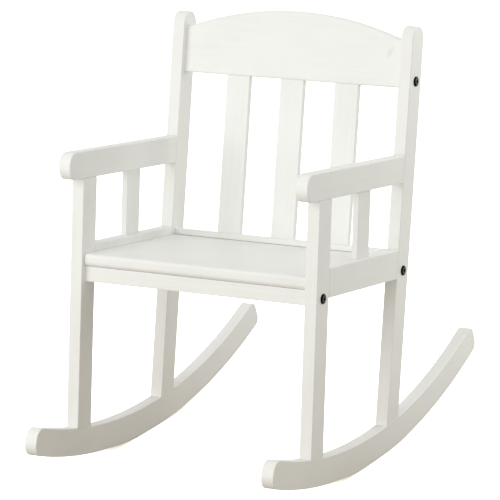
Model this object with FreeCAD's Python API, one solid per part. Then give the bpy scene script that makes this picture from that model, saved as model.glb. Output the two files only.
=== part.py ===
import FreeCAD, Part
import math
import os

# A child's rocking chair in painted wood, built piece by piece in millimetres.
# Every piece is drawn with the front legs upright: X to the right as seen from the
# front, Y backwards from the front legs, Z up from the rockers' lowest point.
# At the end the whole chair is leaned back to the tilt at which it comes to rest.

V = FreeCAD.Vector
X_AXIS = V(1, 0, 0)

# Stock and overall width
CHAIR_WIDTH = 380.0
STOCK_THICK = 18.5
STOCK_WIDE = 36.5
EASED_EDGE = 1.1
EASED_END = 0.8

# Rockers: an arc of constant depth with rounded ends
ROCKER_RADIUS = 884.0
ROCKER_CENTRE_Y = 90.0
ROCKER_DEPTH = 38.8
ROCKER_FRONT_Y = -114.5
ROCKER_REAR_Y = 542.0
ROCKER_FRONT_ROUND = 16.0
ROCKER_REAR_ROUND = 12.0

# Rear posts, leaning back from the front legs
POST_FOOT_Y = 233.5
POST_LEAN = 4.0
POST_LENGTH = 611.5

# Arms
ARM_BOTTOM = 391.8
ARM_HEIGHT = 38.2
ARM_NOSE_Y = -38.0
ARM_NOSE_ROUND = 16.5
ARM_EDGE = 1.6

# Side rails and the flat spindle above each of them, of the same section as the back slats
SIDE_RAIL_BOTTOM = 257.6
SIDE_RAIL_HEIGHT = 41.0
SPINDLE_FRONT_Y = 129.5
SPINDLE_HOUSING = 8.0

# Seat panel
SEAT_TOP = 287.4
SEAT_FRONT_Y = 6.0
SEAT_THICK = 17.4
SEAT_NOSE_TOP_ROUND = 3.8
SEAT_NOSE_LOW_ROUND = 6.5
SEAT_GAP = 0.3
TONGUE_THICK = 6.0
TONGUE_LENGTH = 5.0
REAR_TONGUE_THICK = 8.0
REAR_TONGUE_LENGTH = 2.6
REAR_TONGUE_DROP = 0.4
REAR_GROOVE_ROOM = 0.5

# Front rail, lying flat under the seat's front edge
FRONT_RAIL_Y = 10.5
FRONT_RAIL_HEIGHT = 21.6

# Back rails and slats, all centred on the width of the leaning posts and measured along them
BACK_THICK = 15.0
BACK_RAIL_TOP = 297.6
BACK_RAIL_HEIGHT = 40.5
CREST_DROP = 87.6
CREST_HEIGHT = 97.5
CREST_ARC_RADIUS = 476.0
CREST_EDGE = 3.0
SLAT_COUNT = 3
SLAT_PITCH = 86.0
SLAT_WIDE = 37.0
SLAT_THICK = 9.0
SLAT_HOUSING = 7.5
SLAT_EDGE = 0.9

# Connector bolts with barrel nuts
BOLT_SHANK = 6.0
BOLT_LENGTH = 50.0
BOLT_HEAD = 14.0
BOLT_HEAD_HEIGHT = 2.4
BOLT_HEAD_BEVEL = 1.2
BOLT_SOCKET = 4.0
BOLT_SOCKET_DEPTH = 2.6
NUT_DIAMETER = 10.0
NUT_LENGTH = 10.0
NUT_INSET = 25.0
NUT_SLOT_WIDE = 1.4
NUT_SLOT_DEPTH = 1.2
CREST_BOLT_RISE = 10.7
BACK_RAIL_BOLT_RISE = 12.9
BOLT_CLEARANCE = 0.6

# Dowels
DOWEL_DIAMETER = 8.0
ROCKER_DOWEL_LENGTH = 42.0
ARM_DOWEL_LENGTH = 30.0
RAIL_DOWEL_LENGTH = 26.0
DOWEL_SPREAD = 18.0
DOWEL_END_ROOM = 1.0
RAIL_DOWEL_LOW = 13.0
RAIL_DOWEL_HIGH = 30.5
FRONT_RAIL_DOWEL_Y = 19.0
CREST_DOWEL_RISE = 43.0
BACK_RAIL_DOWEL_RISE = 32.0

# Fit between a piece and the hole it sits in, over the whole width
FIT = 0.2

# Weights that set the tilt at rest, in grams per cubic millimetre
WOOD_DENSITY = 0.00062
STEEL_DENSITY = 0.00785

# Derived sizes
HALF_WIDTH = CHAIR_WIDTH / 2
LEG_INNER_X = HALF_WIDTH - STOCK_THICK
LEG_MID_X = HALF_WIDTH - STOCK_THICK / 2
LEG_MID_Y = STOCK_WIDE / 2
ARM_MID_Z = ARM_BOTTOM + ARM_HEIGHT / 2
SEAT_BOTTOM = SEAT_TOP - SEAT_THICK
FRONT_RAIL_BOTTOM = SEAT_BOTTOM - FRONT_RAIL_HEIGHT
FRONT_RAIL_MID_Z = FRONT_RAIL_BOTTOM + FRONT_RAIL_HEIGHT / 2
BACK_RAIL_BOTTOM = BACK_RAIL_TOP - BACK_RAIL_HEIGHT
CREST_BOTTOM = POST_LENGTH - CREST_DROP
CREST_TOP = CREST_BOTTOM + CREST_HEIGHT
ROCKER_TOP_RADIUS = ROCKER_RADIUS - ROCKER_DEPTH
ROCKER_CENTRE = V(0, ROCKER_CENTRE_Y, ROCKER_RADIUS)
LEAN = math.radians(POST_LEAN)
HOUSING_FIT = FIT / 2
BACK_MID = STOCK_WIDE / 2
BACK_SETBACK = BACK_MID - BACK_THICK / 2
SEAT_REAR_Y = POST_FOOT_Y + BACK_SETBACK / math.cos(LEAN) + SEAT_TOP * math.tan(LEAN) + REAR_TONGUE_LENGTH


def box(x0, x1, y0, y1, z0, z1):
    """A plain block between three pairs of limits."""
    return Part.makeBox(x1 - x0, y1 - y0, z1 - z0, V(x0, y0, z0))


def bar(x0, x1, y0, y1, z0, z1, direction, radius=EASED_EDGE):
    """A block whose four long edges, along the given direction, are eased."""
    block = box(x0, x1, y0, y1, z0, z1)
    along = []
    for edge in block.Edges:
        run = edge.Vertexes[1].Point - edge.Vertexes[0].Point
        if abs(run.dot(direction)) > 0.5 * edge.Length:
            along.append(edge)
    return block.makeFillet(radius, along)


def rod(diameter, start, direction, length):
    """A plain round rod."""
    return Part.makeCylinder(diameter / 2, length, start, direction)


def outline(points):
    """A flat closed face through points joined by straight edges."""
    return Part.Face(Part.makePolygon(points + [points[0]]))


def lean_back(shape):
    """Turns a piece drawn against an upright rear post to the post's lean."""
    leaned = shape.copy()
    leaned.rotate(V(0, POST_FOOT_Y, 0), X_AXIS, -POST_LEAN)
    return leaned


def leaned_point(x, behind, along):
    """The place of a point given by its distance behind and along the rear post's front."""
    y = POST_FOOT_Y + behind * math.cos(LEAN) + along * math.sin(LEAN)
    z = along * math.cos(LEAN) - behind * math.sin(LEAN)
    return V(x, y, z)


def post_front_y(z):
    """Where the rear post's front face stands at a height."""
    return POST_FOOT_Y + z * math.tan(LEAN)


def mirrored(shape):
    """The left-hand copy of a right-hand piece."""
    return shape.mirror(V(0, 0, 0), X_AXIS)


def above_rockers():
    """All the room above the rockers' top edge, to cope the feet that stand on it."""
    start = V(-CHAIR_WIDTH, ROCKER_CENTRE_Y, ROCKER_RADIUS)
    return Part.makeCylinder(ROCKER_TOP_RADIUS, 2 * CHAIR_WIDTH, start, X_AXIS)


def rocker_top_z(y):
    """Height of the rocker's top edge at a distance back."""
    return ROCKER_RADIUS - math.sqrt(ROCKER_TOP_RADIUS ** 2 - (y - ROCKER_CENTRE_Y) ** 2)


def post_foot(behind):
    """Distance along the rear post, at a depth behind its front, where it meets the rocker."""
    start = leaned_point(0, behind, 0)
    run = V(0, math.sin(LEAN), math.cos(LEAN))
    from_centre = start - ROCKER_CENTRE
    half_b = from_centre.dot(run)
    c = from_centre.dot(from_centre) - ROCKER_TOP_RADIUS ** 2
    return -half_b - math.sqrt(half_b ** 2 - c)


def dowel(centre, direction, length):
    """A dowel, centred on the joint."""
    return rod(DOWEL_DIAMETER, centre - direction * (length / 2), direction, length)


def dowel_hole(centre, direction, length):
    """The hole that a dowel sits in, with room at both ends."""
    long = length + 2 * DOWEL_END_ROOM
    start = centre - direction * (long / 2)
    return rod(DOWEL_DIAMETER + FIT, start, direction, long)


def arc_points(centre_y, centre_z, radius, y):
    """The point at y on the lower half of a circle in the side view."""
    return V(0, y, centre_z - math.sqrt(radius ** 2 - (y - centre_y) ** 2))


def make_rocker():
    """The right rocker: an arc with rounded ends and eased edges, without its holes."""
    front = ROCKER_FRONT_Y
    rear = ROCKER_REAR_Y
    middle = (front + rear) / 2
    # The ends are cut square to the arc, so the top edge's limits are scaled in.
    shrink = ROCKER_TOP_RADIUS / ROCKER_RADIUS
    top_front = ROCKER_CENTRE_Y + (front - ROCKER_CENTRE_Y) * shrink
    top_rear = ROCKER_CENTRE_Y + (rear - ROCKER_CENTRE_Y) * shrink
    low = [arc_points(ROCKER_CENTRE_Y, ROCKER_RADIUS, ROCKER_RADIUS, y) for y in (front, middle, rear)]
    high = [
        arc_points(ROCKER_CENTRE_Y, ROCKER_RADIUS, ROCKER_TOP_RADIUS, y)
        for y in (top_rear, middle, top_front)
    ]
    edges = [
        Part.Arc(*low).toShape(),
        Part.makeLine(low[2], high[0]),
        Part.Arc(*high).toShape(),
        Part.makeLine(high[2], low[0]),
    ]
    face = Part.Face(Part.Wire(edges))
    face.translate(V(LEG_INNER_X, 0, 0))
    body = face.extrude(V(STOCK_THICK, 0, 0))
    front_corners = []
    rear_corners = []
    for edge in body.Edges:
        run = edge.Vertexes[1].Point - edge.Vertexes[0].Point
        if abs(run.x) < 0.9 * STOCK_THICK:
            continue
        if edge.CenterOfMass.y < middle:
            front_corners.append(edge)
        else:
            rear_corners.append(edge)
    body = body.makeFillet(ROCKER_FRONT_ROUND, front_corners)
    rear_edges = []
    for edge in body.Edges:
        for corner in rear_corners:
            if (edge.CenterOfMass - corner.CenterOfMass).Length < 0.01:
                rear_edges.append(edge)
    body = body.makeFillet(ROCKER_REAR_ROUND, rear_edges)
    return ease_sides(body, EASED_EDGE)


def ease_sides(body, radius, skip=None):
    """Eases every edge of the two faces that look sideways, except those that skip names."""
    box_limits = body.BoundBox
    chosen = []
    for edge in body.Edges:
        limits = edge.BoundBox
        flat = limits.XLength < 0.01
        outside = abs(limits.XMin - box_limits.XMin) < 0.01 or abs(limits.XMax - box_limits.XMax) < 0.01
        if flat and outside and not (skip and skip(edge)):
            chosen.append(edge)
    return body.makeFillet(radius, chosen)


def ease_end(body, outwards):
    """Takes the arris off the flat end of a piece, so that its joint shows as a fine groove."""
    edges = []
    for face in body.Faces:
        if isinstance(face.Surface, Part.Plane) and face.normalAt(0, 0).dot(outwards) > 0.99:
            edges.extend(face.OuterWire.Edges)
    return body.makeChamfer(EASED_END, edges)


def make_front_leg():
    """The right front leg, coped to the rocker and stopped under the arm."""
    low = rocker_top_z(STOCK_WIDE) - ROCKER_DEPTH
    leg = bar(LEG_INNER_X, HALF_WIDTH, 0, STOCK_WIDE, low, ARM_BOTTOM, V(0, 0, 1))
    return ease_end(leg, V(0, 0, 1)).common(above_rockers())


def make_rear_post():
    """The right rear post with its rounded top, leaned and coped to the rocker."""
    y0 = POST_FOOT_Y
    y1 = POST_FOOT_Y + STOCK_WIDE
    spring = POST_LENGTH - STOCK_WIDE / 2
    crown = V(LEG_INNER_X, y0 + STOCK_WIDE / 2, POST_LENGTH)
    left = V(LEG_INNER_X, y0, spring)
    right = V(LEG_INNER_X, y1, spring)
    edges = [
        Part.makeLine(V(LEG_INNER_X, y0, 0), left),
        Part.Arc(left, crown, right).toShape(),
        Part.makeLine(right, V(LEG_INNER_X, y1, 0)),
        Part.makeLine(V(LEG_INNER_X, y1, 0), V(LEG_INNER_X, y0, 0)),
    ]
    body = Part.Face(Part.Wire(edges)).extrude(V(STOCK_THICK, 0, 0))
    body = ease_sides(body, EASED_EDGE, lambda edge: edge.BoundBox.ZMax < 1)
    return lean_back(body).common(above_rockers())


def make_arm():
    """The right arm with its rounded nose, cut to the rear post's lean."""
    x0 = LEG_INNER_X
    top = ARM_BOTTOM + ARM_HEIGHT
    points = [
        V(x0, ARM_NOSE_Y, ARM_BOTTOM),
        V(x0, post_front_y(ARM_BOTTOM), ARM_BOTTOM),
        V(x0, post_front_y(top), top),
        V(x0, ARM_NOSE_Y, top),
    ]
    body = outline(points).extrude(V(STOCK_THICK, 0, 0))
    nose = []
    for edge in body.Edges:
        limits = edge.BoundBox
        if limits.YMax < ARM_NOSE_Y + 1 and limits.XLength > 0.9 * STOCK_THICK:
            nose.append(edge)
    body = body.makeFillet(ARM_NOSE_ROUND, nose)
    rear_limit = post_front_y(ARM_BOTTOM) - 0.01
    body = ease_sides(body, ARM_EDGE, lambda edge: edge.BoundBox.YMin > rear_limit)
    return ease_end(body, V(0, 1, 0))


def make_side_rail():
    """The right side rail between the front leg and the rear post."""
    top = SIDE_RAIL_BOTTOM + SIDE_RAIL_HEIGHT
    far = post_front_y(top)
    rail = bar(LEG_INNER_X, HALF_WIDTH, STOCK_WIDE, far, SIDE_RAIL_BOTTOM, top, V(0, 1, 0))
    behind = box(0, CHAIR_WIDTH, POST_FOOT_Y, POST_FOOT_Y + CHAIR_WIDTH, 0, POST_LENGTH)
    rail = rail.cut(lean_back(behind))
    return ease_end(ease_end(rail, V(0, 1, 0)), V(0, -1, 0))


def make_spindle():
    """The right flat spindle, let into the side rail and the arm."""
    x0 = LEG_MID_X - SLAT_THICK / 2
    low = SIDE_RAIL_BOTTOM + SIDE_RAIL_HEIGHT - SPINDLE_HOUSING
    high = ARM_BOTTOM + SPINDLE_HOUSING
    rear = SPINDLE_FRONT_Y + SLAT_WIDE
    return bar(x0, x0 + SLAT_THICK, SPINDLE_FRONT_Y, rear, low, high, V(0, 0, 1), SLAT_EDGE)


def spindle_housing():
    """The room that both ends of the right spindle are let into."""
    x0 = LEG_MID_X - SLAT_THICK / 2 - HOUSING_FIT
    x1 = LEG_MID_X + SLAT_THICK / 2 + HOUSING_FIT
    low = SIDE_RAIL_BOTTOM + SIDE_RAIL_HEIGHT - SPINDLE_HOUSING
    high = ARM_BOTTOM + SPINDLE_HOUSING
    front = SPINDLE_FRONT_Y - HOUSING_FIT
    rear = SPINDLE_FRONT_Y + SLAT_WIDE + HOUSING_FIT
    return box(x0, x1, front, rear, low, high)


def round_front(panel, z, radius):
    """Rounds the seat's front edge at one height."""
    edges = []
    for edge in panel.Edges:
        limits = edge.BoundBox
        if limits.YMax < SEAT_FRONT_Y + 0.01 and abs(limits.ZMin - z) < 0.01 and limits.ZLength < 0.01:
            edges.append(edge)
    return panel.makeFillet(radius, edges)


def make_seat():
    """The seat panel: rounded front edge, a tongue along each side and one along its rear."""
    side = LEG_INNER_X - SEAT_GAP
    panel = box(-side, side, SEAT_FRONT_Y, SEAT_REAR_Y, SEAT_BOTTOM, SEAT_TOP)
    panel = round_front(panel, SEAT_TOP, SEAT_NOSE_TOP_ROUND)
    panel = round_front(panel, SEAT_BOTTOM, SEAT_NOSE_LOW_ROUND)
    # The body stops just before the lower back rail, and only the tongue goes on.
    rail_front = POST_FOOT_Y + BACK_SETBACK - SEAT_GAP
    behind = box(-CHAIR_WIDTH, CHAIR_WIDTH, rail_front, rail_front + CHAIR_WIDTH, 0, POST_LENGTH)
    panel = panel.cut(lean_back(behind))
    high = SEAT_TOP - REAR_TONGUE_DROP
    rear_tongue = box(-side, side, POST_FOOT_Y, SEAT_REAR_Y, high - REAR_TONGUE_THICK, high)
    low = SEAT_BOTTOM + (SEAT_THICK - TONGUE_THICK) / 2
    reach = LEG_INNER_X + TONGUE_LENGTH
    front = STOCK_WIDE + SEAT_GAP
    rear = post_front_y(SEAT_BOTTOM) - SEAT_GAP
    side_tongues = box(-reach, reach, front, rear, low, low + TONGUE_THICK)
    return panel.fuse([rear_tongue, side_tongues]).removeSplitter()


def seat_groove():
    """The groove in the right side rail for the seat's tongue."""
    low = SEAT_BOTTOM + (SEAT_THICK - TONGUE_THICK) / 2 - HOUSING_FIT
    far = LEG_INNER_X + TONGUE_LENGTH + HOUSING_FIT
    return box(0, far, 0, SEAT_REAR_Y, low, low + TONGUE_THICK + FIT)


def seat_rear_groove():
    """The groove in the lower back rail for the seat's rear tongue, a little open above the seat."""
    low = SEAT_TOP - REAR_TONGUE_DROP - REAR_TONGUE_THICK - HOUSING_FIT
    return box(-LEG_INNER_X, LEG_INNER_X, 0, SEAT_REAR_Y + FIT, low, SEAT_TOP + REAR_GROOVE_ROOM)


def make_front_rail():
    """The front rail, lying flat between the front legs."""
    return bar(
        -LEG_INNER_X, LEG_INNER_X, FRONT_RAIL_Y, STOCK_WIDE, FRONT_RAIL_BOTTOM, SEAT_BOTTOM, X_AXIS
    )


def back_block(x0, x1, thick, low, high, direction, radius):
    """An eased bar of the back, drawn upright and centred on the posts' width."""
    y0 = POST_FOOT_Y + BACK_MID - thick / 2
    return bar(x0, x1, y0, y0 + thick, low, high, direction, radius)


def make_back_rail():
    """The lower back rail between the rear posts, upright."""
    return back_block(
        -LEG_INNER_X, LEG_INNER_X, BACK_THICK, BACK_RAIL_BOTTOM, BACK_RAIL_TOP, X_AXIS, EASED_EDGE
    )


def make_crest():
    """The crest rail with its arched and eased top edge, upright."""
    y0 = POST_FOOT_Y + BACK_SETBACK
    sag = CREST_ARC_RADIUS - math.sqrt(CREST_ARC_RADIUS ** 2 - LEG_INNER_X ** 2)
    left_top = V(-LEG_INNER_X, y0, CREST_TOP - sag)
    right_top = V(LEG_INNER_X, y0, CREST_TOP - sag)
    left_low = V(-LEG_INNER_X, y0, CREST_BOTTOM)
    right_low = V(LEG_INNER_X, y0, CREST_BOTTOM)
    edges = [
        Part.makeLine(left_low, right_low),
        Part.makeLine(right_low, right_top),
        Part.Arc(right_top, V(0, y0, CREST_TOP), left_top).toShape(),
        Part.makeLine(left_top, left_low),
    ]
    body = Part.Face(Part.Wire(edges)).extrude(V(0, BACK_THICK, 0))
    long_edges = [edge for edge in body.Edges if edge.BoundBox.XLength > LEG_INNER_X]
    return body.makeFillet(CREST_EDGE, long_edges)


def slat_centres():
    """Sideways places of the back slats, from left to right."""
    return [(index - (SLAT_COUNT - 1) / 2) * SLAT_PITCH for index in range(SLAT_COUNT)]


def make_slat(x):
    """One back slat, upright, long enough for both housings."""
    low = BACK_RAIL_TOP - SLAT_HOUSING
    high = CREST_BOTTOM + SLAT_HOUSING
    return back_block(
        x - SLAT_WIDE / 2, x + SLAT_WIDE / 2, SLAT_THICK, low, high, V(0, 0, 1), SLAT_EDGE
    )


def slat_housing(x):
    """The room that both ends of a slat are let into, upright."""
    y0 = POST_FOOT_Y + BACK_MID - SLAT_THICK / 2 - HOUSING_FIT
    return box(
        x - SLAT_WIDE / 2 - HOUSING_FIT, x + SLAT_WIDE / 2 + HOUSING_FIT,
        y0, y0 + SLAT_THICK + FIT,
        BACK_RAIL_TOP - SLAT_HOUSING, CREST_BOTTOM + SLAT_HOUSING,
    )


def make_bolt():
    """A connector bolt along -X, its head seated on the plane x = 0."""
    shank = rod(BOLT_SHANK, V(0, 0, 0), V(-1, 0, 0), BOLT_LENGTH)
    head = rod(BOLT_HEAD, V(0, 0, 0), X_AXIS, BOLT_HEAD_HEIGHT)
    rim = [
        edge for edge in head.Edges
        if len(edge.Vertexes) == 1 and edge.CenterOfMass.x > BOLT_HEAD_HEIGHT / 2
    ]
    head = head.makeChamfer(BOLT_HEAD_BEVEL, rim)
    corner = BOLT_SOCKET / math.sqrt(3)
    floor = BOLT_HEAD_HEIGHT - BOLT_SOCKET_DEPTH
    ring = []
    for step in range(6):
        turn = math.radians(60 * step)
        ring.append(V(floor, corner * math.cos(turn), corner * math.sin(turn)))
    socket = outline(ring).extrude(V(BOLT_SOCKET_DEPTH + 1, 0, 0))
    return head.fuse(shank).removeSplitter().cut(socket)


def make_nut(direction):
    """A barrel nut centred on the bolt's axis, its barrel along the given direction."""
    start = direction * (-NUT_LENGTH / 2)
    barrel = rod(NUT_DIAMETER, start, direction, NUT_LENGTH)
    bore = rod(BOLT_SHANK + FIT, V(-NUT_DIAMETER, 0, 0), X_AXIS, 2 * NUT_DIAMETER)
    across = direction.cross(X_AXIS)
    slot = box(
        -NUT_DIAMETER, NUT_DIAMETER, -NUT_SLOT_WIDE / 2, NUT_SLOT_WIDE / 2, 0, NUT_SLOT_DEPTH
    )
    turn = FreeCAD.Rotation(X_AXIS, across, direction, "XYZ")
    slot.Placement = FreeCAD.Placement(direction * (NUT_LENGTH / 2 - NUT_SLOT_DEPTH), turn)
    return barrel.cut(bore).cut(slot)


def bolt_places():
    """Each right-hand bolt: its point on the leg's outer face and its barrel nut's direction."""
    out_of_back = V(0, math.cos(LEAN), -math.sin(LEAN))
    return [
        (leaned_point(HALF_WIDTH, BACK_MID, CREST_BOTTOM + CREST_BOLT_RISE), out_of_back),
        (leaned_point(HALF_WIDTH, BACK_MID, BACK_RAIL_BOTTOM + BACK_RAIL_BOLT_RISE), out_of_back),
        (V(HALF_WIDTH, LEG_MID_Y, FRONT_RAIL_MID_Z), V(0, 0, -1)),
    ]


def bolt_holes(point, direction):
    """The holes for a right-hand bolt and its nut."""
    long = BOLT_LENGTH + DOWEL_END_ROOM
    shank = rod(BOLT_SHANK + BOLT_CLEARANCE, point + X_AXIS, V(-1, 0, 0), long + 1)
    nut_centre = point - X_AXIS * (STOCK_THICK + NUT_INSET)
    start = nut_centre - direction * (NUT_LENGTH / 2 + HOUSING_FIT)
    nut = rod(NUT_DIAMETER + FIT, start, direction, NUT_LENGTH + STOCK_WIDE)
    return shank, nut


def rocker_dowels():
    """Right-hand dowels between the rocker and the feet that stand on it."""
    places = []
    for step in (-0.5, 0.5):
        y = LEG_MID_Y + step * DOWEL_SPREAD
        places.append((V(LEG_MID_X, y, rocker_top_z(y)), V(0, 0, 1)))
        behind = LEG_MID_Y + step * DOWEL_SPREAD
        foot = leaned_point(LEG_MID_X, behind, post_foot(behind))
        places.append((foot, V(0, math.sin(LEAN), math.cos(LEAN))))
    return places


def arm_dowels():
    """Right-hand dowels from the arm into the front leg and into the rear post."""
    return [
        (V(LEG_MID_X, LEG_MID_Y, ARM_BOTTOM), V(0, 0, 1)),
        (V(LEG_MID_X, post_front_y(ARM_MID_Z), ARM_MID_Z), V(0, 1, 0)),
    ]


def rail_dowels():
    """Right-hand dowels at the ends of the side, front, lower back and crest rails."""
    places = []
    for rise in (RAIL_DOWEL_LOW, RAIL_DOWEL_HIGH):
        z = SIDE_RAIL_BOTTOM + rise
        places.append((V(LEG_MID_X, STOCK_WIDE, z), V(0, 1, 0)))
        places.append((V(LEG_MID_X, post_front_y(z), z), V(0, 1, 0)))
    places.append((V(LEG_INNER_X, FRONT_RAIL_Y + FRONT_RAIL_DOWEL_Y, FRONT_RAIL_MID_Z), X_AXIS))
    for rise in (BACK_RAIL_BOTTOM + BACK_RAIL_DOWEL_RISE, CREST_BOTTOM + CREST_DOWEL_RISE):
        places.append((leaned_point(LEG_INNER_X, BACK_MID, rise), X_AXIS))
    return places


def cut_all(shape, tools):
    """A piece with every hole cut that touches it."""
    near = [tool for tool in tools if tool.BoundBox.intersect(shape.BoundBox)]
    return shape.cut(near) if near else shape


# Right-hand holes, and the same holes on the left for pieces that span the chair
dowel_sets = {
    "rocker_dowels": (rocker_dowels(), ROCKER_DOWEL_LENGTH),
    "arm_dowels": (arm_dowels(), ARM_DOWEL_LENGTH),
    "rail_dowels": (rail_dowels(), RAIL_DOWEL_LENGTH),
}
right_holes = []
for places, length in dowel_sets.values():
    for centre, direction in places:
        right_holes.append(dowel_hole(centre, direction, length))
for point, direction in bolt_places():
    right_holes.extend(bolt_holes(point, direction))
all_holes = right_holes + [mirrored(hole) for hole in right_holes]

# Side pieces are made once and mirrored
side_pieces = {
    "rocker": make_rocker(),
    "front_leg": make_front_leg(),
    "rear_post": make_rear_post(),
    "arm": make_arm().cut(spindle_housing()),
    "side_rail": make_side_rail().cut(spindle_housing()).cut(seat_groove()),
    "arm_spindle": make_spindle(),
}
pieces = {}
for name, shape in side_pieces.items():
    drilled = shape if name == "arm_spindle" else cut_all(shape, right_holes)
    pieces[name + "_right"] = drilled
    pieces[name + "_left"] = mirrored(drilled)

# Pieces that span the chair
housings = [slat_housing(x) for x in slat_centres()]
pieces["seat_panel"] = make_seat()
pieces["front_rail"] = cut_all(make_front_rail(), all_holes)
back_rail = lean_back(make_back_rail().cut(housings)).cut(seat_rear_groove())
pieces["lower_back_rail"] = cut_all(back_rail, all_holes)
pieces["crest_rail"] = cut_all(lean_back(make_crest().cut(housings)), all_holes)
for index, x in enumerate(slat_centres()):
    pieces["back_slat_" + str(index + 1)] = lean_back(make_slat(x))

# Fasteners, each kind as one group of separate solids
bolts = []
nuts = []
for point, direction in bolt_places():
    bolt = make_bolt()
    bolt.translate(point)
    nut = make_nut(direction)
    nut.translate(point - X_AXIS * (STOCK_THICK + NUT_INSET))
    bolts += [bolt, mirrored(bolt)]
    nuts += [nut, mirrored(nut)]
pieces["connector_bolts"] = Part.makeCompound(bolts)
pieces["barrel_nuts"] = Part.makeCompound(nuts)
for name, (places, length) in dowel_sets.items():
    group = [dowel(centre, direction, length) for centre, direction in places]
    pieces[name] = Part.makeCompound(group + [mirrored(one) for one in group])

# The chair comes to rest with its centre of mass under the rockers' centre of curvature
weight = 0.0
moment_y = 0.0
moment_z = 0.0
for name, shape in pieces.items():
    density = STEEL_DENSITY if name in ("connector_bolts", "barrel_nuts") else WOOD_DENSITY
    for solid in shape.Solids:
        mass = density * solid.Volume
        weight += mass
        moment_y += mass * solid.CenterOfMass.y
        moment_z += mass * solid.CenterOfMass.z
behind = moment_y / weight - ROCKER_CENTRE_Y
below = ROCKER_RADIUS - moment_z / weight
rest_lean = math.degrees(math.atan2(behind, below))
print("rest lean", round(rest_lean, 3), "centre of mass", moment_y / weight, moment_z / weight)

for shape in pieces.values():
    shape.rotate(ROCKER_CENTRE, X_AXIS, -rest_lean)
whole = Part.makeCompound(list(pieces.values())).optimalBoundingBox(False, False)
to_centre = V(0, -(whole.YMin + whole.YMax) / 2, 0)
print("moved back", to_centre.y, "size", whole.XLength, whole.YLength, whole.ZLength, "low", whole.ZMin)

os.makedirs("parts", exist_ok=True)
for name, shape in pieces.items():
    shape.translate(to_centre)
    shape.exportStep("parts/" + name + ".step")
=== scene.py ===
"""Looks of a white child's rocking chair: painted wood, black connector bolts, studio and camera.

The wooden pieces keep their construction shapes and get a brushed white paint whose grain follows
each board. The bolts are modelled anew, at the same sizes, with finer heads. All sizes are in metres,
in the chair's own frame: X to the right of someone facing the chair, Y towards its back, Z up from
the floor.
"""

import logging
import math
from dataclasses import dataclass, field
from enum import Enum

import bpy
from mathutils import Matrix, Vector

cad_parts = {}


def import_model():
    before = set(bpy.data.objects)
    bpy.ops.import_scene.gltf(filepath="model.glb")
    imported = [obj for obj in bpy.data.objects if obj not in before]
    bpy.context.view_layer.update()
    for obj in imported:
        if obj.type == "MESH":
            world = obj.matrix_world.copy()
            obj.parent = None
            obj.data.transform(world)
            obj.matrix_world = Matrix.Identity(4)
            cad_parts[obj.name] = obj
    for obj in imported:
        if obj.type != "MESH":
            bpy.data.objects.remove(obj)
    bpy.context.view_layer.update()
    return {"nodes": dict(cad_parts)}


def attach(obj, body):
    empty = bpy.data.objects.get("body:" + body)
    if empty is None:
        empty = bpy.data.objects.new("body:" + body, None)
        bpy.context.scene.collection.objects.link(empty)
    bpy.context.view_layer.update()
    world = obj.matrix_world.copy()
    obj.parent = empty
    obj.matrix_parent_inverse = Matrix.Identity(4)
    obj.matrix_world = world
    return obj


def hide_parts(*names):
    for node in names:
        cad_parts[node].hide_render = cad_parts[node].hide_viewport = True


LOG = logging.getLogger("rocking_chair")
MM = 0.001
WHITE = (1.0, 1.0, 1.0, 1.0)
# The span that holds most values of a noise texture
NOISE_LOW, NOISE_HIGH = 0.3, 0.7
METAL_NODES = ("connector_bolts", "barrel_nuts")
DOWEL_NODES = ("rocker_dowels", "arm_dowels", "rail_dowels")


def linear(hex_colour: str) -> tuple[float, float, float, float]:
    """Turn an sRGB hex colour into linear light.

    Args:
        hex_colour: Six hex digits after a hash sign.

    Returns:
        Red, green, blue and full alpha.
    """
    parts = [int(hex_colour[i:i + 2], 16) / 255 for i in (1, 3, 5)]
    light = [c / 12.92 if c <= 0.04045 else ((c + 0.055) / 1.055) ** 2.4 for c in parts]
    return (light[0], light[1], light[2], 1.0)


def add_node(
    tree: bpy.types.NodeTree,
    kind: str,
    inputs: dict[str | int, object] | None = None,
    **settings: object,
) -> bpy.types.Node:
    """Add a node with its settings, socket values and links.

    Args:
        tree: The node tree it goes into.
        kind: Blender's name of the node type.
        inputs: Values, or sockets to link from, by input name or number.
        settings: Properties of the node itself.

    Returns:
        The new node.
    """
    node = tree.nodes.new(kind)
    for name, value in settings.items():
        setattr(node, name, value)
    for key, value in (inputs or {}).items():
        if isinstance(value, bpy.types.NodeSocket):
            tree.links.new(value, node.inputs[key])
        else:
            node.inputs[key].default_value = value
    return node


def new_material(name: str) -> tuple[bpy.types.Material, bpy.types.NodeTree]:
    """Make an empty node material.

    Args:
        name: What the real material is called.

    Returns:
        The material and its cleared node tree.
    """
    material = bpy.data.materials.new(name)
    material.use_nodes = True
    material.node_tree.nodes.clear()
    return material, material.node_tree


class Grain(Enum):
    """The way a board's grain runs: its axis, and its lean back from upright in degrees."""

    ACROSS = ("X", 0.0)
    LEG = ("Z", 8.2)
    POST = ("Z", 12.2)
    LENGTH = ("Y", 8.2)


@dataclass(frozen=True)
class Knot:
    """A knot that shows faintly through the paint, as a leaning oval in the X-Z plane.

    It is greyest within its core and fades out at its rim, both as shares of its half sizes.
    """

    centre: tuple[float, float, float]
    half_width_mm: float
    half_length_mm: float
    tilt_deg: float
    colour: str = "#e9e9e9"
    core: float = 0.3
    rim: float = 1.3


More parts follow.
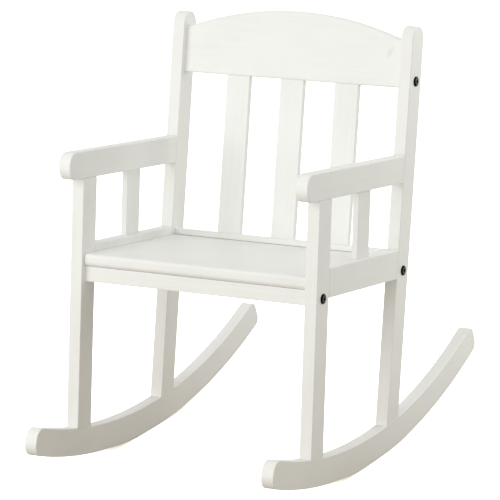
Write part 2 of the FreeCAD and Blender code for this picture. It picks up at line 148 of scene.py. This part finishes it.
@dataclass(frozen=True)
class BrushedWhitePaint:
    """Satin white paint brushed on wood: the grain shows through as faint streaks along the board.

    The paint is a little darker in streaks, it carries painted shade in crevices, and its gloss is
    broken by the pores.
    """

    light: str = "#f3f3f2"
    streak: str = "#efefed"
    roughness: float = 0.42
    roughness_drop: float = 0.05
    roughness_rise: float = 0.06
    ior: float = 1.5
    streak_width_mm: float = 3.6
    streak_length_mm: float = 110.0
    streak_start: float = 0.16
    streak_full: float = 0.42
    patch_mm: float = 70.0
    # Real pores are finer; these are as coarse as they need to show
    pore_width_mm: float = 1.3
    relief_mm: float = 0.08
    relief_strength: float = 0.3
    # Colour of the painted shade in crevices, mixed in by ambient occlusion
    crevice_shade: str = "#b8b2a8"
    crevice_shade_mm: float = 2.0
    crevice_shade_closed: float = 0.1
    crevice_shade_open: float = 0.4

    def material(self, grain: Grain, knot: Knot | None = None) -> bpy.types.Material:
        """Make the paint for boards of one grain direction.

        Args:
            grain: The way the boards run.
            knot: A knot in the board, if it has one.

        Returns:
            The material.
        """
        suffix = "_knot" if knot else ""
        material, tree = new_material(f"brushed_white_paint_{grain.name.lower()}{suffix}")
        axis, lean = grain.value
        stretch = self.streak_length_mm / self.streak_width_mm
        scale = [stretch if name == axis else 1.0 for name in "XYZ"]
        place = add_node(tree, "ShaderNodeTexCoord").outputs["Object"]
        along = add_node(
            tree, "ShaderNodeMapping",
            {"Vector": place, "Rotation": (-math.radians(lean), 0, 0), "Scale": scale},
            vector_type="TEXTURE",
        ).outputs["Vector"]
        streaks = add_node(
            tree, "ShaderNodeTexNoise",
            {"Vector": along, "Scale": 1 / (self.streak_width_mm * MM),
             "Detail": 3.0, "Roughness": 0.55},
        ).outputs["Fac"]
        pores = add_node(
            tree, "ShaderNodeTexNoise",
            {"Vector": along, "Scale": 1 / (self.pore_width_mm * MM), "Detail": 2.0},
        ).outputs["Fac"]
        patches = add_node(
            tree, "ShaderNodeTexNoise",
            {"Vector": place, "Scale": 1 / (self.patch_mm * MM), "Detail": 2.0},
        ).outputs["Fac"]
        mixed = add_node(
            tree, "ShaderNodeMath", {0: streaks, 1: patches}, operation="MULTIPLY"
        ).outputs[0]
        amount = add_node(
            tree, "ShaderNodeMapRange",
            {"Value": mixed, "From Min": self.streak_start, "From Max": self.streak_full},
        ).outputs["Result"]
        colour = add_node(
            tree, "ShaderNodeMix",
            {0: amount, 6: linear(self.light), 7: linear(self.streak)},
            data_type="RGBA",
        ).outputs[2]
        if knot:
            colour = self.over_knot(tree, place, colour, knot)
        # Painted shade in crevices and narrow joints
        colour = self.paint_crevice_shade(tree, colour)
        gloss = add_node(
            tree, "ShaderNodeMapRange",
            {"Value": pores, "From Min": NOISE_LOW, "From Max": NOISE_HIGH,
             "To Min": self.roughness - self.roughness_drop,
             "To Max": self.roughness + self.roughness_rise},
        ).outputs["Result"]
        height = add_node(
            tree, "ShaderNodeMath", {0: streaks, 1: pores}, operation="ADD"
        ).outputs[0]
        bump = add_node(
            tree, "ShaderNodeBump",
            {"Height": height, "Strength": self.relief_strength, "Distance": self.relief_mm * MM},
        ).outputs["Normal"]
        shader = add_node(
            tree, "ShaderNodeBsdfPrincipled",
            {"Base Color": colour, "Roughness": gloss, "Normal": bump, "IOR": self.ior},
        ).outputs["BSDF"]
        add_node(tree, "ShaderNodeOutputMaterial", {"Surface": shader})
        return material

    def over_knot(
        self,
        tree: bpy.types.NodeTree,
        place: bpy.types.NodeSocket,
        colour: bpy.types.NodeSocket,
        knot: Knot,
    ) -> bpy.types.NodeSocket:
        """Let a knot show faintly through the paint.

        Args:
            tree: The paint's node tree.
            place: Object coordinates.
            colour: The paint's colour without the knot.
            knot: The knot.

        Returns:
            The colour with the knot.
        """
        oval = add_node(
            tree, "ShaderNodeMapping",
            {"Vector": place, "Location": knot.centre,
             "Rotation": (0, math.radians(knot.tilt_deg), 0),
             "Scale": (knot.half_width_mm * MM, 1.0, knot.half_length_mm * MM)},
            vector_type="TEXTURE",
        ).outputs["Vector"]
        reach = add_node(
            tree, "ShaderNodeVectorMath", {0: oval}, operation="LENGTH"
        ).outputs["Value"]
        amount = add_node(
            tree, "ShaderNodeMapRange",
            {"Value": reach, "From Min": knot.core, "From Max": knot.rim,
             "To Min": 1.0, "To Max": 0.0},
            interpolation_type="SMOOTHSTEP",
        ).outputs["Result"]
        return add_node(
            tree, "ShaderNodeMix", {0: amount, 6: colour, 7: linear(knot.colour)}, data_type="RGBA"
        ).outputs[2]

    def paint_crevice_shade(
        self, tree: bpy.types.NodeTree, colour: bpy.types.NodeSocket
    ) -> bpy.types.NodeSocket:
        """Paint shade into the narrow joints and crevices between boards.

        Args:
            tree: The paint's node tree.
            colour: The paint's colour in the open.

        Returns:
            The colour with painted shade in the crevices.
        """
        # Painted shade: ambient occlusion darkens the paint where nearby surfaces close it in
        open_air = add_node(
            tree, "ShaderNodeAmbientOcclusion", {"Distance": self.crevice_shade_mm * MM}, samples=8
        ).outputs["AO"]
        unshaded = add_node(
            tree, "ShaderNodeMapRange",
            {"Value": open_air, "From Min": self.crevice_shade_closed, "From Max": self.crevice_shade_open},
        ).outputs["Result"]
        return add_node(
            tree, "ShaderNodeMix", {0: unshaded, 6: linear(self.crevice_shade), 7: colour}, data_type="RGBA"
        ).outputs[2]


@dataclass(frozen=True)
class FastenerMetal:
    """A plated or blackened steel fastener: even colour, broken gloss from its tumbled surface."""

    name: str
    colour: str
    metallic: float
    roughness: float
    specular: float = 0.5
    roughness_drop: float = 0.08
    roughness_rise: float = 0.1
    # The real dents are finer; these are as coarse as they need to show
    mottle_mm: float = 1.2
    relief_mm: float = 0.03
    relief_strength: float = 0.2

    def material(self) -> bpy.types.Material:
        """Make the metal's material.

        Returns:
            The material.
        """
        material, tree = new_material(self.name)
        place = add_node(tree, "ShaderNodeTexCoord").outputs["Object"]
        mottle = add_node(
            tree, "ShaderNodeTexNoise",
            {"Vector": place, "Scale": 1 / (self.mottle_mm * MM), "Detail": 3.0},
        ).outputs["Fac"]
        gloss = add_node(
            tree, "ShaderNodeMapRange",
            {"Value": mottle, "From Min": NOISE_LOW, "From Max": NOISE_HIGH,
             "To Min": self.roughness - self.roughness_drop,
             "To Max": self.roughness + self.roughness_rise},
        ).outputs["Result"]
        bump = add_node(
            tree, "ShaderNodeBump",
            {"Height": mottle, "Strength": self.relief_strength, "Distance": self.relief_mm * MM},
        ).outputs["Normal"]
        shader = add_node(
            tree, "ShaderNodeBsdfPrincipled",
            {"Base Color": linear(self.colour), "Metallic": self.metallic,
             "Specular IOR Level": self.specular, "Roughness": gloss, "Normal": bump},
        ).outputs["BSDF"]
        add_node(tree, "ShaderNodeOutputMaterial", {"Surface": shader})
        return material


BLACK_OXIDE = FastenerMetal(
    "black_oxide_steel", "#030303", metallic=0.0, roughness=0.45, specular=0.04
)
# Crown finish: worn by the key, and lighter and glossier than the rim, partly a painted highlight
# ring
RUBBED_HIGHLIGHT_BLACK_OXIDE = FastenerMetal(
    "rubbed_black_oxide_steel", "#121213", metallic=0.0, roughness=0.36, specular=0.26
)
ZINC_PLATE = FastenerMetal("bright_zinc_plate", "#b9bcc0", metallic=1.0, roughness=0.34)


@dataclass(frozen=True)
class RawBeech:
    """Turned beech, left raw: pale pinkish brown with fine dark flecks."""

    light: str = "#d9b98c"
    dark: str = "#bb9463"
    fleck_mm: float = 1.0
    roughness: float = 0.6

    def material(self) -> bpy.types.Material:
        """Make the beech material.

        Returns:
            The material.
        """
        material, tree = new_material("raw_beech")
        place = add_node(tree, "ShaderNodeTexCoord").outputs["Object"]
        flecks = add_node(
            tree, "ShaderNodeTexNoise",
            {"Vector": place, "Scale": 1 / (self.fleck_mm * MM), "Detail": 3.0},
        ).outputs["Fac"]
        colour = add_node(
            tree, "ShaderNodeMix",
            {0: flecks, 6: linear(self.light), 7: linear(self.dark)},
            data_type="RGBA",
        ).outputs[2]
        shader = add_node(
            tree, "ShaderNodeBsdfPrincipled", {"Base Color": colour, "Roughness": self.roughness}
        ).outputs["BSDF"]
        add_node(tree, "ShaderNodeOutputMaterial", {"Surface": shader})
        return material


def eye_rays(tree: bpy.types.NodeTree) -> tuple[bpy.types.NodeSocket, bpy.types.NodeSocket]:
    """Tell the rays that show a surface from those that only light another one.

    Args:
        tree: The node tree that needs to know.

    Returns:
        A socket that is 1 for straight views, and one that is 1 for views by a mirror or glass.
    """
    path = add_node(tree, "ShaderNodeLightPath").outputs
    mirrored = add_node(
        tree, "ShaderNodeMath",
        {0: path["Is Glossy Ray"], 1: path["Is Transmission Ray"]},
        operation="MAXIMUM",
    ).outputs[0]
    return path["Is Camera Ray"], mirrored


def dress(node: bpy.types.Object, material: bpy.types.Material) -> None:
    """Give a construction piece its finish.

    Args:
        node: The piece's object.
        material: The finish.
    """
    node.data.materials.clear()
    node.data.materials.append(material)


def pick_none() -> None:
    """Deselect everything and leave edit mode."""
    if bpy.context.object and bpy.context.object.mode != "OBJECT":
        bpy.ops.object.mode_set(mode="OBJECT")
    bpy.ops.object.select_all(action="DESELECT")


@dataclass
class WoodenFrame:
    """Every painted board of the chair, sorted by the way its grain runs."""

    nodes: dict[str, bpy.types.Object]
    paint: BrushedWhitePaint = field(default_factory=BrushedWhitePaint)
    crest_knot: Knot = Knot((0.1512, 0.1403, 0.5462), 4.2, 9.5, 30.0)

    def grain_of(self, name: str) -> Grain:
        """Tell the way a board runs from its name.

        Args:
            name: The board's node name.

        Returns:
            Its grain direction.
        """
        if name.startswith(("rocker", "arm_left", "arm_right", "side_rail")):
            return Grain.LENGTH
        if name.startswith(("rear_post", "back_slat")):
            return Grain.POST
        if name.startswith(("front_leg", "arm_spindle")):
            return Grain.LEG
        return Grain.ACROSS

    def build(self, boards: list[str]) -> None:
        """Paint the boards.

        Args:
            boards: Their node names.
        """
        finishes = {grain: self.paint.material(grain) for grain in Grain}
        knotty = self.paint.material(Grain.ACROSS, self.crest_knot)
        for name in boards:
            grain = self.grain_of(name)
            dress(self.nodes[name], knotty if name == "crest_rail" else finishes[grain])
            LOG.info("painted %s, grain %s", name, grain.name.lower())


@dataclass
class ConnectorBolts:
    """The black hex-socket connector bolts, seated on the outer faces of legs and posts."""

    node: bpy.types.Object
    seat_x: float = 190 * MM
    head_radius: float = 7 * MM
    head_height: float = 2.4 * MM
    head_sides: int = 64
    rim_height: float = 0.9 * MM
    crown_radius: float = 4.3 * MM
    crown_steps: int = 4
    socket_flats: float = 4 * MM
    socket_sides: int = 6
    socket_depth: float = 2.6 * MM
    shank_radius: float = 3 * MM
    shank_length: float = 50 * MM
    edge: float = 0.25 * MM
    edge_segments: int = 2
    edge_limit_deg: float = 40.0
    smooth_limit_deg: float = 32.0
    twist_step_deg: float = 17.0

    def seats(self) -> list[Vector]:
        """Find where each bolt head sits.

        Returns:
            The centre of every head on its seat, read from the construction piece.
        """
        proud_x = self.seat_x + 0.5 * self.rim_height
        proud = [v.co for v in self.node.data.vertices if abs(v.co.x) > proud_x]
        groups: list[list[Vector]] = []
        for point in proud:
            for group in groups:
                if (point - group[0]).length < 2.5 * self.head_radius:
                    group.append(point)
                    break
            else:
                groups.append([point])
        centres = []
        for group in groups:
            low = Vector([min(p[i] for p in group) for i in range(3)])
            high = Vector([max(p[i] for p in group) for i in range(3)])
            middle = (low + high) / 2
            centres.append(Vector((math.copysign(self.seat_x, middle.x), middle.y, middle.z)))
        return sorted(centres, key=lambda p: (p.x, p.z))

    def model(self) -> bpy.types.Object:
        """Model one bolt along Z, its head's underside on the plane z = 0.

        Returns:
            The bolt's object, with its modifiers applied.
        """
        pick_none()
        bpy.ops.mesh.primitive_cylinder_add(
            vertices=self.head_sides, radius=self.head_radius, depth=self.rim_height,
            location=(0, 0, self.rim_height / 2),
        )
        bolt = bpy.context.object
        bpy.ops.object.transform_apply(location=True, rotation=True, scale=True)
        bpy.ops.object.mode_set(mode="EDIT")
        self.round_crown(bolt)
        self.pick_cap(bolt, -1)
        bpy.ops.mesh.inset(thickness=self.head_radius - self.shank_radius, depth=0)
        bpy.ops.mesh.extrude_region_move(
            TRANSFORM_OT_translate={"value": (0, 0, -self.shank_length)}
        )
        bpy.ops.object.mode_set(mode="OBJECT")
        self.cut_socket(bolt)
        pick_none()
        bolt.select_set(True)
        bpy.context.view_layer.objects.active = bolt
        bpy.ops.object.shade_smooth_by_angle(angle=math.radians(self.smooth_limit_deg))
        # The crown faces take the worn, lighter and glossier finish, partly a painted highlight
        for face in bolt.data.polygons:
            on_crown = face.center.z > 0.95 * self.head_height and face.normal.z > 0.95
            face.material_index = int(on_crown)
        return bolt

    def round_crown(self, bolt: bpy.types.Object) -> None:
        """Raise the head over its rim in a quarter of an ellipse, in edit mode.

        Args:
            bolt: The bolt being shaped.
        """
        reach = self.head_radius - self.crown_radius
        rise = self.head_height - self.rim_height
        self.pick_cap(bolt, 1)
        for step in range(1, self.crown_steps + 1):
            turn = math.radians(90 * step / self.crown_steps)
            back = math.radians(90 * (step - 1) / self.crown_steps)
            lift = rise * (math.sin(turn) - math.sin(back))
            bpy.ops.mesh.extrude_region_move(TRANSFORM_OT_translate={"value": (0, 0, lift)})
            now = self.head_radius - reach * (1 - math.cos(turn))
            before = self.head_radius - reach * (1 - math.cos(back))
            bpy.ops.transform.resize(value=(now / before, now / before, 1))

    def pick_cap(self, bolt: bpy.types.Object, side: int) -> None:
        """Select the end face of the bolt that looks up or down, in edit mode.

        Args:
            bolt: The bolt being shaped.
            side: 1 for up, -1 for down.
        """
        bpy.ops.mesh.select_all(action="DESELECT")
        bpy.ops.object.mode_set(mode="OBJECT")
        for face in bolt.data.polygons:
            face.select = face.normal.z * side > 0.99
        bpy.ops.object.mode_set(mode="EDIT")
        bpy.ops.mesh.select_mode(type="FACE")

    def cut_socket(self, bolt: bpy.types.Object) -> None:
        """Cut the hex socket into the head and ease the sharp edges.

        Args:
            bolt: The bolt to cut.
        """
        pick_none()
        bpy.ops.mesh.primitive_cylinder_add(
            vertices=self.socket_sides, radius=self.socket_flats / math.sqrt(3),
            depth=2 * self.socket_depth, location=(0, 0, self.head_height),
        )
        cutter = bpy.context.object
        pick_none()
        bpy.context.view_layer.objects.active = bolt
        bolt.select_set(True)
        cut = bolt.modifiers.new("socket", "BOOLEAN")
        cut.operation = "DIFFERENCE"
        cut.solver = "EXACT"
        cut.object = cutter
        bpy.ops.object.modifier_apply(modifier=cut.name)
        ease = bolt.modifiers.new("eased_edges", "BEVEL")
        ease.width = self.edge
        ease.segments = self.edge_segments
        ease.limit_method = "ANGLE"
        ease.angle_limit = math.radians(self.edge_limit_deg)
        bpy.ops.object.modifier_apply(modifier=ease.name)
        bpy.data.objects.remove(cutter, do_unlink=True)

    def build(self, metal: bpy.types.Material, rubbed_highlight: bpy.types.Material) -> None:
        """Seat a copy of the bolt at every place and hide the plain ones.

        Args:
            metal: The bolts' finish.
            rubbed_highlight: The finish of the crown, where the key has turned; lighter and glossier
                than the rim, partly a painted highlight.
        """
        pattern = self.model()
        for index, seat in enumerate(self.seats()):
            bolt = pattern.copy()
            bolt.data = pattern.data.copy()
            bolt.name = f"connector_bolt_{index + 1}"
            outwards = Matrix.Rotation(math.copysign(math.pi / 2, seat.x), 4, "Y")
            twist = Matrix.Rotation(math.radians(self.twist_step_deg * index), 4, "Z")
            bolt.data.transform(Matrix.Translation(seat) @ outwards @ twist)
            bpy.context.scene.collection.objects.link(bolt)
            bolt.data.materials.append(metal)
            bolt.data.materials.append(rubbed_highlight)
            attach(bolt, "root")
            LOG.info("seated %s", bolt.name)
        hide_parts("connector_bolts")
        bpy.data.objects.remove(pattern, do_unlink=True)


@dataclass(frozen=True)
class PhotoView:
    """The camera that sees the chair as the photograph does, in a square picture."""

    azimuth_deg: float = 28.094
    elevation_deg: float = 15.338
    roll_deg: float = -2.090
    distance: float = 4.5448
    aim: tuple[float, float, float] = (-0.00482, -0.00346, 0.28214)
    lens_mm: float = 233.58
    sensor_mm: float = 36.0
    clip_end: float = 50.0

    def build(self) -> None:
        """Make the camera and give it to the scene."""
        data = bpy.data.cameras.new("photo_view")
        data.lens = self.lens_mm
        data.sensor_width = self.sensor_mm
        data.clip_end = self.clip_end
        camera = bpy.data.objects.new("photo_view", data)
        bpy.context.scene.collection.objects.link(camera)
        azimuth = math.radians(self.azimuth_deg)
        elevation = math.radians(self.elevation_deg)
        back = Vector((
            math.sin(azimuth) * math.cos(elevation),
            -math.cos(azimuth) * math.cos(elevation),
            math.sin(elevation),
        ))
        level = (-back).to_track_quat("-Z", "Y").to_matrix()
        turn = level @ Matrix.Rotation(math.radians(self.roll_deg), 3, "Z")
        place = Vector(self.aim) + back * self.distance
        camera.matrix_world = Matrix.Translation(place) @ turn.to_4x4()
        bpy.context.scene.camera = camera


@dataclass(frozen=True)
class Softbox:
    """A square studio lamp."""

    name: str
    place: tuple[float, float, float]
    size: float
    watts: float

    def build(self, aim: Vector) -> None:
        """Hang the lamp and point it.

        Args:
            aim: The point it looks at.
        """
        data = bpy.data.lights.new(self.name, "AREA")
        data.shape = "SQUARE"
        data.size = self.size
        data.energy = self.watts
        lamp = bpy.data.objects.new(self.name, data)
        bpy.context.scene.collection.objects.link(lamp)
        lamp.location = self.place
        lamp.rotation_euler = (aim - Vector(self.place)).to_track_quat("-Z", "Y").to_euler()


@dataclass
class Studio:
    """White floor, white surround and soft lamps."""

    floor_size: float = 14.0
    near_bounce: str = "#aa9986"
    far_bounce: str = "#d6d8d2"
    near_centre: tuple[float, float, float] = (0.0, -0.25, 0.0)
    near_radius: float = 0.25
    far_radius: float = 1.0
    floor_seen: float = 3.2
    ambient: float = 0.55
    ambient_tint: str = "#fffff6"
    lamp_aim: tuple[float, float, float] = (0.0, 0.0, 0.28)
    lamps: tuple[Softbox, ...] = (
        Softbox("front_softbox", (-0.4, -3.0, 1.3), 2.2, 28.8),
        Softbox("left_softbox", (-1.1, -1.7, 1.0), 1.2, 7.4),
        Softbox("top_softbox", (0.2, 0.5, 2.55), 1.8, 9.5),
        Softbox("rear_softbox", (0.9, 1.0, 0.6), 0.6, 4.5),
    )

    def build(self) -> None:
        """Make the floor, the surround and the lamps."""
        self.make_floor()
        self.make_world()
        for lamp in self.lamps:
            lamp.build(Vector(self.lamp_aim))
        bpy.context.scene.view_settings.view_transform = "Standard"

    def make_floor(self) -> None:
        """Lay a matt floor: warmer by the chair's front, paler further out, white to the eye."""
        pick_none()
        bpy.ops.mesh.primitive_plane_add(size=self.floor_size, location=(0, 0, 0))
        floor = bpy.context.object
        floor.name = "studio_floor"
        material, tree = new_material("matt_white_floor")
        place = add_node(tree, "ShaderNodeTexCoord").outputs["Object"]
        reach = add_node(
            tree, "ShaderNodeVectorMath", {0: place, 1: self.near_centre}, operation="DISTANCE"
        ).outputs["Value"]
        away = add_node(
            tree, "ShaderNodeMapRange",
            {"Value": reach, "From Min": self.near_radius, "From Max": self.far_radius},
        ).outputs["Result"]
        bounce = add_node(
            tree, "ShaderNodeMix",
            {0: away, 6: linear(self.near_bounce), 7: linear(self.far_bounce)},
            data_type="RGBA",
        ).outputs[2]
        straight, mirrored = eye_rays(tree)
        colour = add_node(
            tree, "ShaderNodeMix", {0: mirrored, 6: bounce, 7: WHITE}, data_type="RGBA"
        ).outputs[2]
        colour = add_node(
            tree, "ShaderNodeMix",
            {0: straight, 6: colour, 7: (self.floor_seen,) * 3 + (1.0,)},
            data_type="RGBA",
        ).outputs[2]
        shader = add_node(tree, "ShaderNodeBsdfDiffuse", {"Color": colour}).outputs["BSDF"]
        add_node(tree, "ShaderNodeOutputMaterial", {"Surface": shader})
        dress(floor, material)

    def make_world(self) -> None:
        """Surround the chair with even, slightly warm light that the eye sees as white."""
        world = bpy.data.worlds.new("white_surround")
        bpy.context.scene.world = world
        world.use_nodes = True
        tree = world.node_tree
        tree.nodes.clear()
        straight, mirrored = eye_rays(tree)
        shown = add_node(
            tree, "ShaderNodeMath", {0: straight, 1: mirrored}, operation="MAXIMUM"
        ).outputs[0]
        colour = add_node(
            tree, "ShaderNodeMix",
            {0: shown, 6: linear(self.ambient_tint), 7: WHITE},
            data_type="RGBA",
        ).outputs[2]
        strength = add_node(
            tree, "ShaderNodeMapRange", {"Value": shown, "To Min": self.ambient, "To Max": 1.0}
        ).outputs["Result"]
        light = add_node(
            tree, "ShaderNodeBackground", {"Color": colour, "Strength": strength}
        ).outputs["Background"]
        add_node(tree, "ShaderNodeOutputWorld", {"Surface": light})


def main() -> None:
    """Dress the chair, light it and aim the camera."""
    logging.basicConfig(level=logging.INFO, format="%(name)s: %(message)s")
    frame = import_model()
    nodes = frame["nodes"]
    WoodenFrame(nodes).build([name for name in nodes if name not in METAL_NODES + DOWEL_NODES])
    ConnectorBolts(nodes["connector_bolts"]).build(
        BLACK_OXIDE.material(), RUBBED_HIGHLIGHT_BLACK_OXIDE.material()
    )
    dress(nodes["barrel_nuts"], ZINC_PLATE.material())
    LOG.info("dressed barrel_nuts")
    beech = RawBeech().material()
    for name in DOWEL_NODES:
        dress(nodes[name], beech)
        LOG.info("dressed %s", name)
    Studio().build()
    PhotoView().build()


if __name__ == "__main__":
    main()
